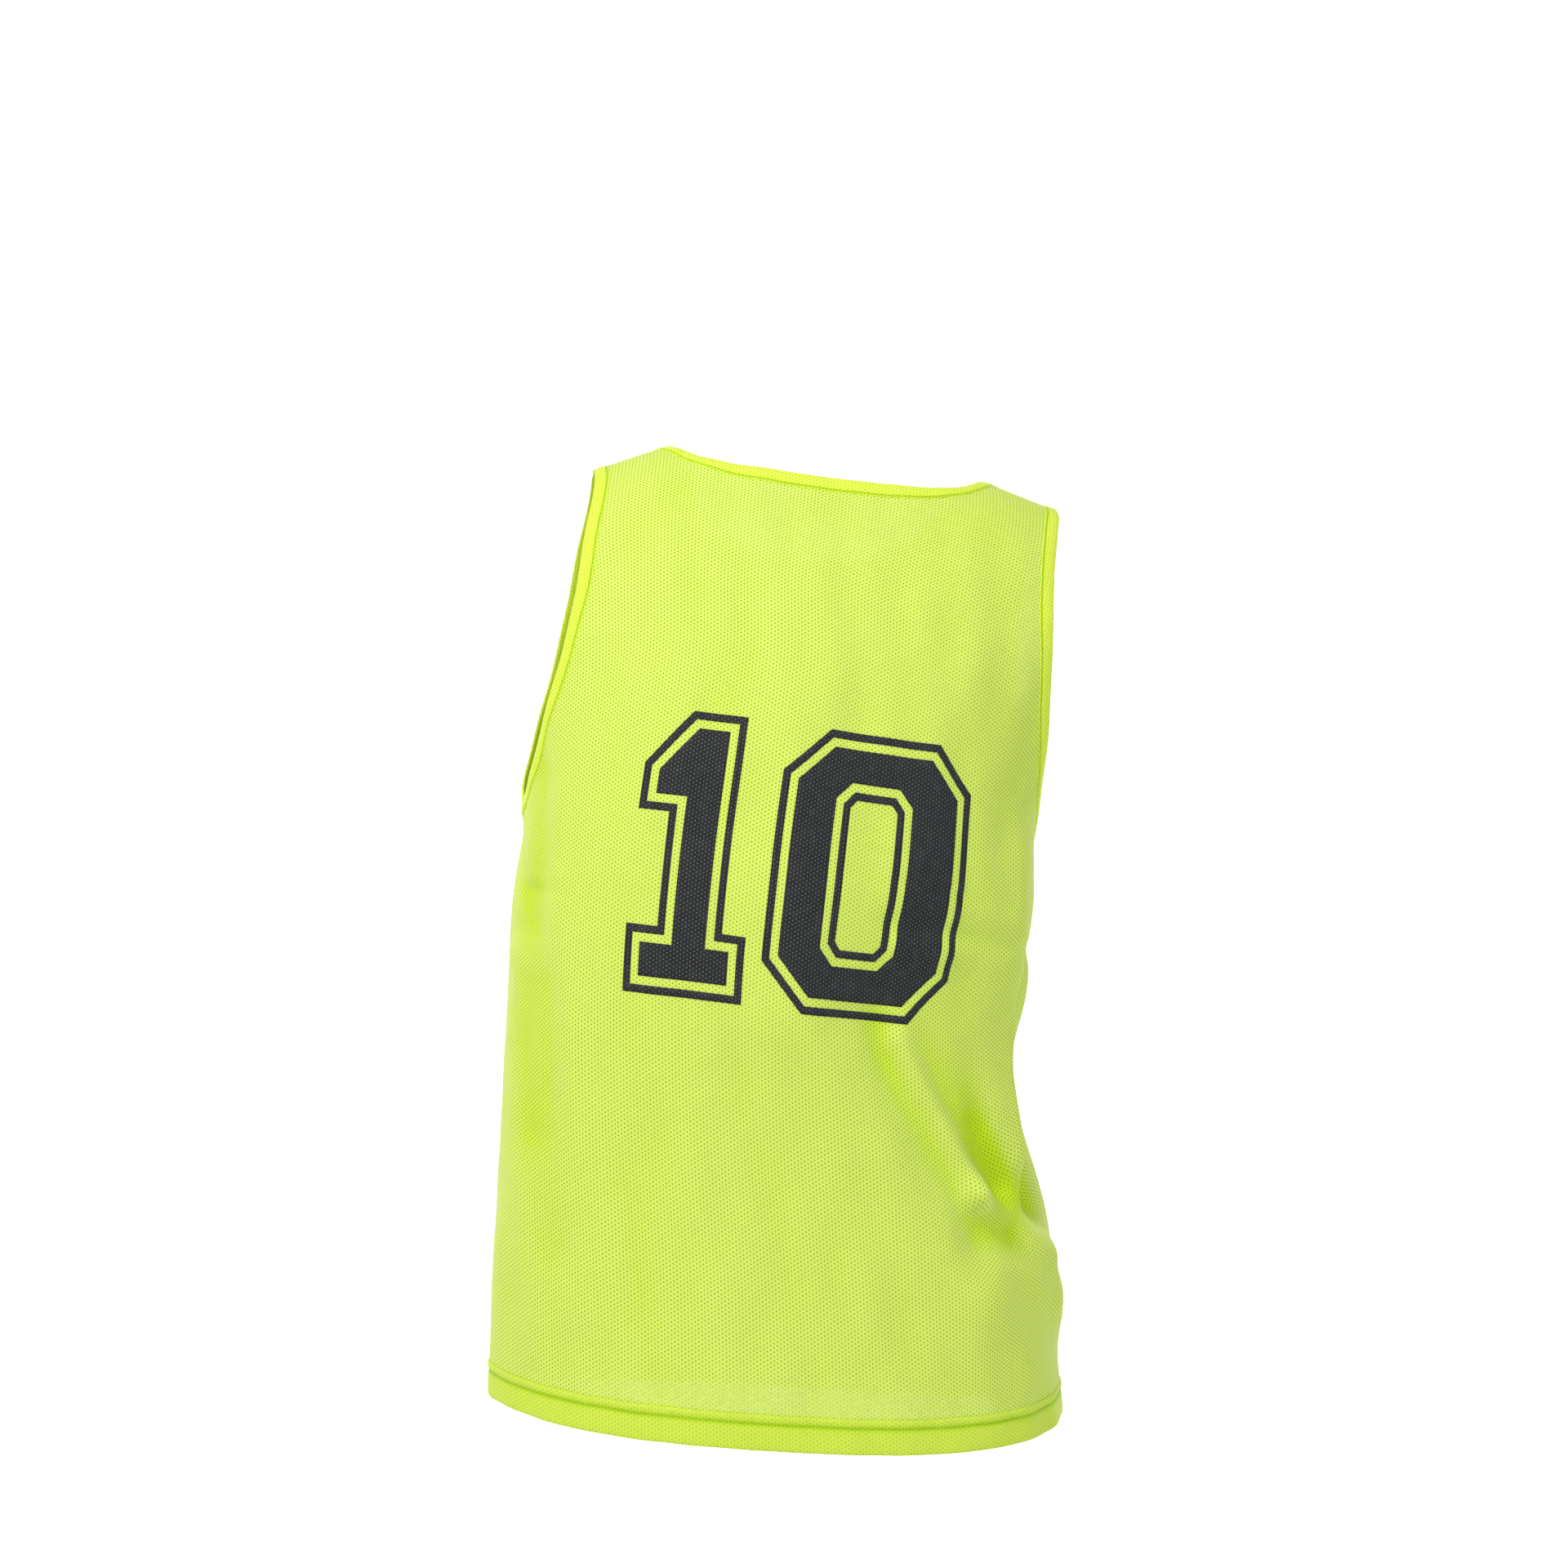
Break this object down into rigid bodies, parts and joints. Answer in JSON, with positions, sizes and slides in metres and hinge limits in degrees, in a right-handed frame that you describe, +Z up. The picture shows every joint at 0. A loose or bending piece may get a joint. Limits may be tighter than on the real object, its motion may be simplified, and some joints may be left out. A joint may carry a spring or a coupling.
{
  "type": "mesh training bib",
  "caption": "Sleeveless net training bib hanging as it is worn, open at neck, armholes and hem, with bound edges, a turned hem and a blank neck label.",
  "frame": {"origin": "middle of the shoulder line, where the wearer's shoulders carry the bib", "axes": "+Z up, the front faces -Y, the wearer's left is +X"},
  "size_m": [0.4327, 0.2793, 0.7298],
  "materials": {
    "net": "matt yellow-green knitted net with small round holes",
    "binding": "the same net folded double, sewn with one line",
    "hem": "the same net turned up double, sewn with one line",
    "label": "plain white woven tape, blank",
    "print_ink": "matt charcoal screen print, open at the holes of the net"
  },
  "bodies": {
    "root": {"back_panel": "net", "front_panel": "net", "neck_binding": "binding", "armhole_binding_left": "binding", "armhole_binding_right": "binding", "hem_band": "hem", "neck_label": "label"}
  },
  "joints": []
}
